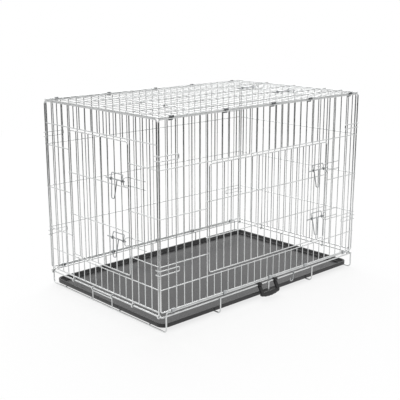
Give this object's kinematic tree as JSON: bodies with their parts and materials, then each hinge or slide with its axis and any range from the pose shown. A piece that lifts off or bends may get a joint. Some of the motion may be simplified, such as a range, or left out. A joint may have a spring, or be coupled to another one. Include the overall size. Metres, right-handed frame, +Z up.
{
  "type": "dog transport crate",
  "caption": "Folding wire dog crate with hinged doors in the end, front and top, slide-bolt latches, a plastic floor tray and a carry handle.",
  "frame": {"origin": "on the floor, under the middle of the wire base", "axes": "+X along the crate towards the plain end, -Y out of the front with the large door, +Z up"},
  "size_m": [0.9327, 0.6107, 0.6521],
  "materials": {
    "zinc_wire": "bright zinc plate on drawn steel wire",
    "zinc_latch_wire": "bright zinc plate on thinner bent wire",
    "dark_clip_steel": "darkened sheet steel",
    "tray_plastic": "moulded, faint grain",
    "handle_plastic": "moulded, satin"
  },
  "bodies": {
    "base": {"base_cross_wires": "zinc_wire", "base_floor_wires": "zinc_wire", "base_rim": "zinc_wire", "base_hinge_rails": "zinc_wire", "tray_end_stop": "zinc_wire", "front_hinge_clips": "zinc_latch_wire", "back_hinge_clips": "zinc_latch_wire", "top_hinge_clips": "dark_clip_steel", "back_panel": "zinc_wire", "back_corner_hooks": "zinc_latch_wire", "front_panel": "zinc_wire", "front_keepers": "zinc_latch_wire", "front_corner_hooks": "zinc_latch_wire"},
    "left_end": {"left_end_panel": "zinc_wire", "left_keepers": "zinc_latch_wire"},
    "right_end": {"right_end_panel": "zinc_wire"},
    "lid": {"top_panel": "zinc_wire", "top_keepers": "zinc_latch_wire", "top_edge_hooks": "dark_clip_steel"},
    "tray": {"tray": "tray_plastic"},
    "tray_stop": {"tray_stop": "zinc_wire"},
    "carry_handle": {"carry_handle": "handle_plastic"},
    "closure_hook": {"closure_hook": "zinc_latch_wire"},
    "left_door": {"left_door": "zinc_wire", "left_brackets": "zinc_latch_wire"},
    "left_bolt_high": {"left_bolt_high": "zinc_latch_wire"},
    "left_bolt_low": {"left_bolt_low": "zinc_latch_wire"},
    "front_door": {"front_door": "zinc_wire", "front_brackets": "zinc_latch_wire"},
    "front_bolt_high": {"front_bolt_high": "zinc_latch_wire"},
    "front_bolt_low": {"front_bolt_low": "zinc_latch_wire"},
    "top_door": {"top_door": "zinc_wire", "top_brackets": "zinc_latch_wire"},
    "top_bolt_high": {"top_bolt_high": "zinc_latch_wire"},
    "top_bolt_low": {"top_bolt_low": "zinc_latch_wire"}
  },
  "joints": [
    {"name": "left_end_fold", "type": "hinge", "parent": "base", "child": "left_end", "pos_m": [-0.455, 0, 0.051], "axis": [0, -1, 0], "range_deg": [-90, 0]},
    {"name": "right_end_fold", "type": "hinge", "parent": "base", "child": "right_end", "pos_m": [0.455, 0, 0.051], "axis": [0, -1, 0], "range_deg": [0, 90]},
    {"name": "lid_hinge", "type": "hinge", "parent": "base", "child": "lid", "pos_m": [0, 0.288, 0.6367], "axis": [-1, 0, 0], "range_deg": [0, 180]},
    {"name": "left_door_hinge", "type": "hinge", "parent": "left_end", "child": "left_door", "pos_m": [-0.455, 0.1564, 0.348], "axis": [0, 0, -1], "range_deg": [0, 130]},
    {"name": "front_door_hinge", "type": "hinge", "parent": "base", "child": "front_door", "pos_m": [-0.2692, -0.288, 0.3125], "axis": [0, 0, -1], "range_deg": [0, 130]},
    {"name": "top_door_hinge", "type": "hinge", "parent": "lid", "child": "top_door", "pos_m": [-0.2692, -0.0395, 0.6367], "axis": [0, 1, 0], "range_deg": [-130, 0]},
    {"name": "tray_slide", "type": "slide", "parent": "base", "child": "tray", "axis": [1, 0, 0], "range_m": [-0.007, 0.007]},
    {"name": "tray_stop_hinge", "type": "hinge", "parent": "base", "child": "tray_stop", "pos_m": [-0.455, 0, 0.051], "axis": [0, 1, 0], "range_deg": [0, 120]},
    {"name": "carry_handle_hinge", "type": "hinge", "parent": "base", "child": "carry_handle", "pos_m": [-0.0015, -0.2929, 0.051], "axis": [-1, 0, 0], "range_deg": [0, 110]},
    {"name": "closure_hook_hinge", "type": "hinge", "parent": "base", "child": "closure_hook", "pos_m": [0.128, -0.2929, 0.051], "axis": [-1, 0, 0], "range_deg": [0, 110]},
    {"name": "left_bolt_high_slide", "type": "slide", "parent": "left_door", "child": "left_bolt_high", "axis": [0, 1, 0], "range_m": [-0.019, 0]},
    {"name": "left_bolt_low_slide", "type": "slide", "parent": "left_door", "child": "left_bolt_low", "axis": [0, 1, 0], "range_m": [-0.019, 0]},
    {"name": "front_bolt_high_slide", "type": "slide", "parent": "front_door", "child": "front_bolt_high", "axis": [-1, 0, 0], "range_m": [-0.019, 0]},
    {"name": "front_bolt_low_slide", "type": "slide", "parent": "front_door", "child": "front_bolt_low", "axis": [-1, 0, 0], "range_m": [-0.019, 0]},
    {"name": "top_bolt_high_slide", "type": "slide", "parent": "top_door", "child": "top_bolt_high", "axis": [1, 0, 0], "range_m": [0, 0.019]},
    {"name": "top_bolt_low_slide", "type": "slide", "parent": "top_door", "child": "top_bolt_low", "axis": [1, 0, 0], "range_m": [0, 0.019]}
  ]
}
